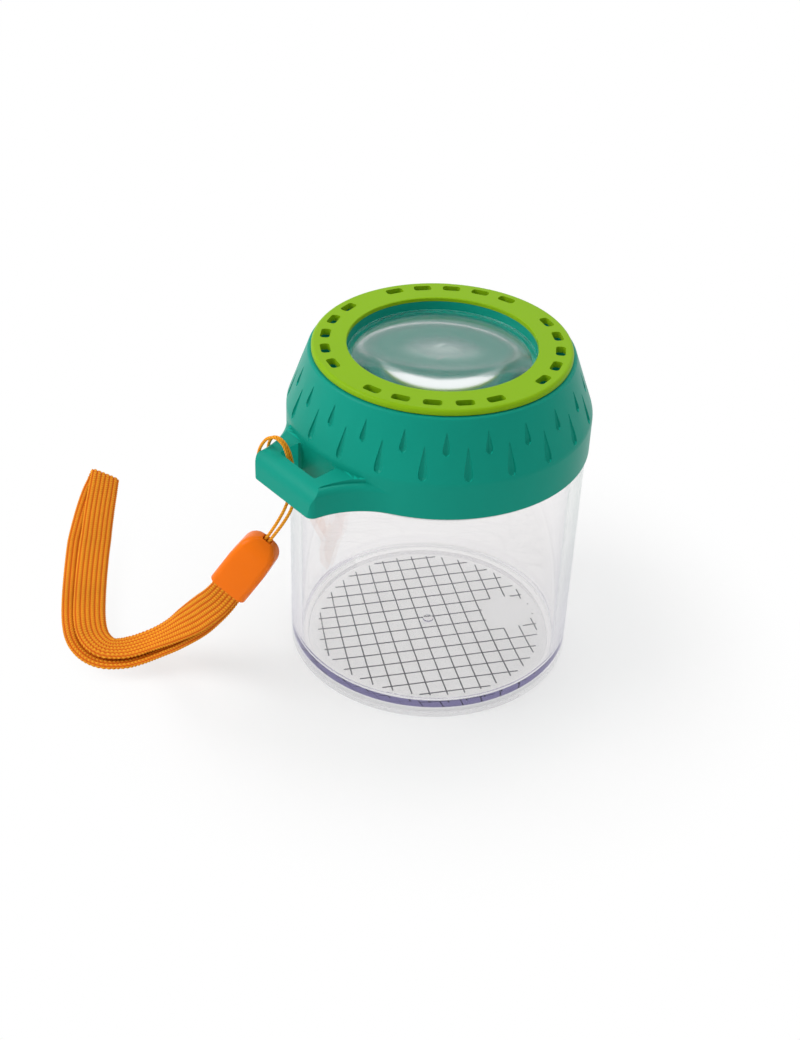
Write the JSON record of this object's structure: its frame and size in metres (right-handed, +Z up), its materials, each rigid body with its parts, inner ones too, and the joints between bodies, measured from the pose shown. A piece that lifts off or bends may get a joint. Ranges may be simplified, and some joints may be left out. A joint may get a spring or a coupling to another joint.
{
  "type": "bug viewer jar",
  "caption": "Clear round jar with a grid under its floor and a screw lid that holds a magnifying lens, an air vent ring and a wrist strap.",
  "frame": {"origin": "on the jar's axis, in the plane that the foot ring stands on", "axes": "+Z up along the jar's axis, -X towards the lid's strap lug"},
  "size_m": [0.1176, 0.1438, 0.0851],
  "materials": {
    "clear_plastic": "clear gloss",
    "ink": "matte",
    "teal_plastic": "satin",
    "lime_plastic": "satin",
    "lens_plastic": "clear gloss",
    "cord": "woven",
    "cap_plastic": "gloss",
    "webbing": "woven"
  },
  "bodies": {
    "jar": {"jar_cup": "clear_plastic", "grid_print": "ink"},
    "lens_carrier": {"lens": "lens_plastic"},
    "lid": {"lid_shell": "teal_plastic", "vent_ring": "lime_plastic", "strap_cord": "cord", "strap_cap": "cap_plastic", "strap_webbing": "webbing"}
  },
  "joints": [
    {"name": "lid_lift_off", "type": "slide", "parent": "jar", "child": "lens_carrier", "axis": [0, 0, 1], "range_m": [0, 0.04]},
    {"name": "lid_unscrew", "type": "hinge", "parent": "lens_carrier", "child": "lid", "pos_m": [0, 0, 0.08], "axis": [0, 0, 1], "range_deg": [0, 270]}
  ]
}
